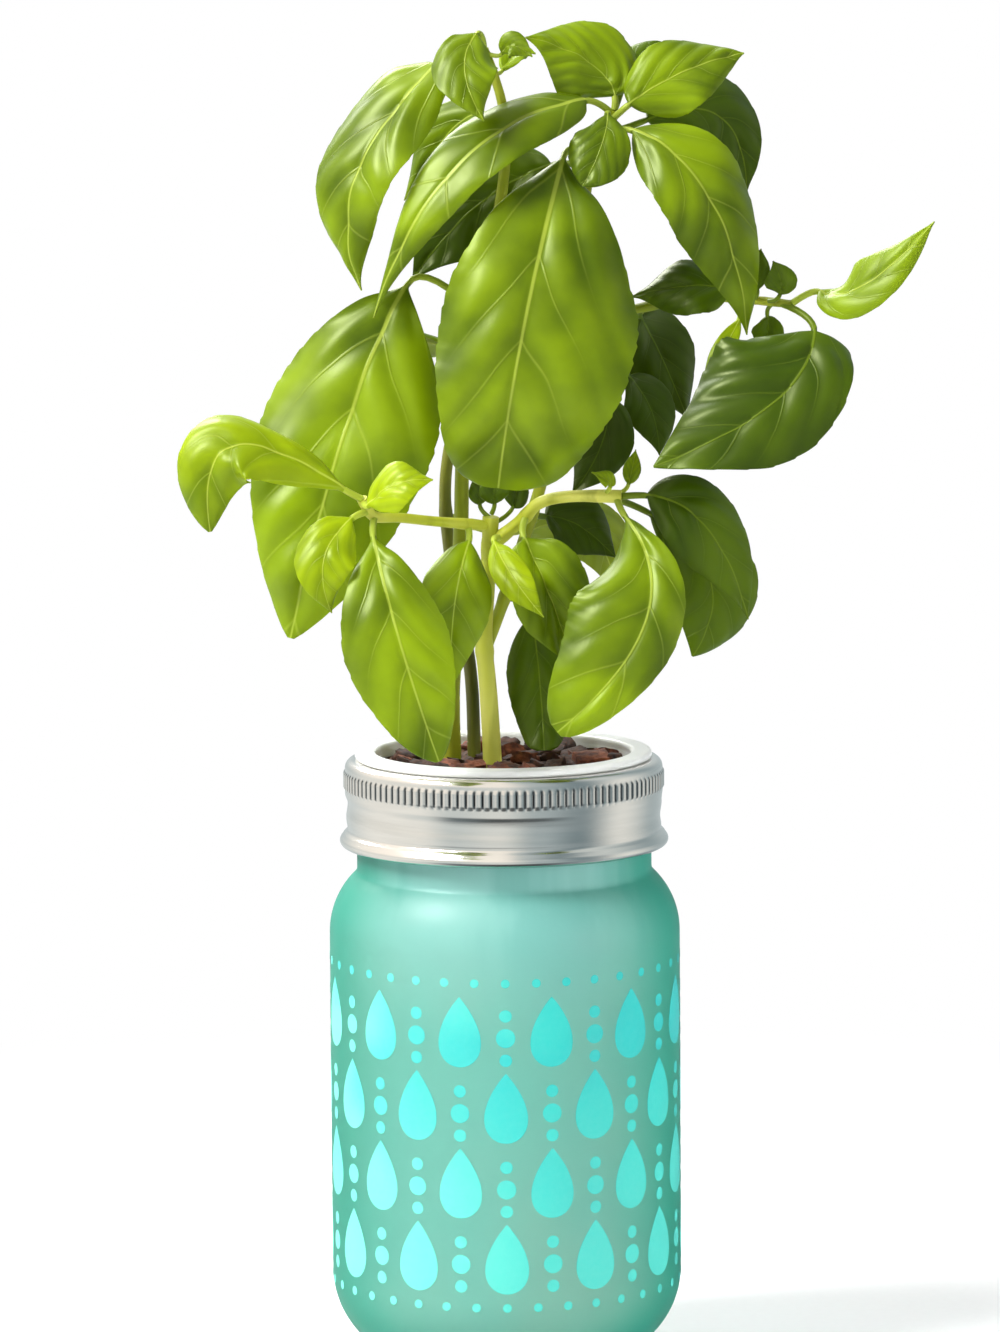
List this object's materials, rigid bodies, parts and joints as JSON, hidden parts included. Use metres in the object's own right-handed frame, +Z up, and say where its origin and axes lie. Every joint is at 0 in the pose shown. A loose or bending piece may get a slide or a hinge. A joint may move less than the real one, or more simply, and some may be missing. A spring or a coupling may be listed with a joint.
{
  "type": "hydroponic jar planter",
  "caption": "Wide-mouth glass jar with a screw band and a slotted net cup in its mouth that holds a leafy herb; a wick reaches down into the reservoir.",
  "frame": {"origin": "centre of the jar's foot ring, on the surface that it stands on", "axes": "+Z up along the jar's axis; -Y towards the front of the plant, +X to its right"},
  "size_m": [0.2008, 0.1167, 0.3635],
  "materials": {
    "glass": "frosted, tinted",
    "band": "bright plated",
    "cup": "smooth moulded",
    "coir": "fibrous",
    "wick": "bonded fibre",
    "bark": "rough",
    "stem": "satin",
    "leaf": "semi-gloss"
  },
  "bodies": {
    "jar": {"glass_jar": "glass"},
    "band": {"screw_band": "band"},
    "insert": {"net_cup": "cup", "coir_plug": "coir", "wick": "wick", "bark_chips": "bark", "stem_left": "stem", "stem_main": "stem", "stem_back": "stem", "stem_right": "stem", "branch_upper_right": "stem", "branch_left": "stem", "branch_right": "stem", "leaf_crown_left": "leaf", "leaf_crown_front": "leaf", "leaf_crown_back": "leaf", "leaf_high_left": "leaf", "leaf_under_left": "leaf", "leaf_centre_large": "leaf", "leaf_top_middle": "leaf", "leaf_top_right": "leaf", "leaf_top_behind": "leaf", "leaf_right_shade": "leaf", "leaf_node_small": "leaf", "leaf_right_drooping": "leaf", "leaf_right_inner": "leaf", "leaf_shade_high": "leaf", "leaf_shade_middle": "leaf", "leaf_shade_low": "leaf", "leaf_right_large": "leaf", "leaf_far_right": "leaf", "leaf_right_strip": "leaf", "leaf_left_large": "leaf", "leaf_far_left": "leaf", "leaf_left_small_up": "leaf", "leaf_left_small_down": "leaf", "leaf_front_long": "leaf", "leaf_front_second": "leaf", "leaf_front_small": "leaf", "leaf_front_folded": "leaf", "leaf_low_dark": "leaf", "leaf_right_front": "leaf", "leaf_right_back": "leaf", "leaf_right_low": "leaf", "leaf_low_back": "leaf", "leaf_back_left": "leaf", "leaf_back_right": "leaf", "leaf_back_low": "leaf", "buds_top": "leaf", "buds_centre": "leaf", "buds_node": "leaf", "buds_right": "leaf"}
  },
  "joints": [
    {"name": "band_turn", "type": "hinge", "parent": "jar", "child": "band", "pos_m": [0, 0, 0.153], "axis": [0, 0, 1], "range_deg": [0, 360]},
    {"name": "cup_lift", "type": "slide", "parent": "jar", "child": "insert", "axis": [0, 0, 1], "range_m": [0, 0.16]}
  ]
}
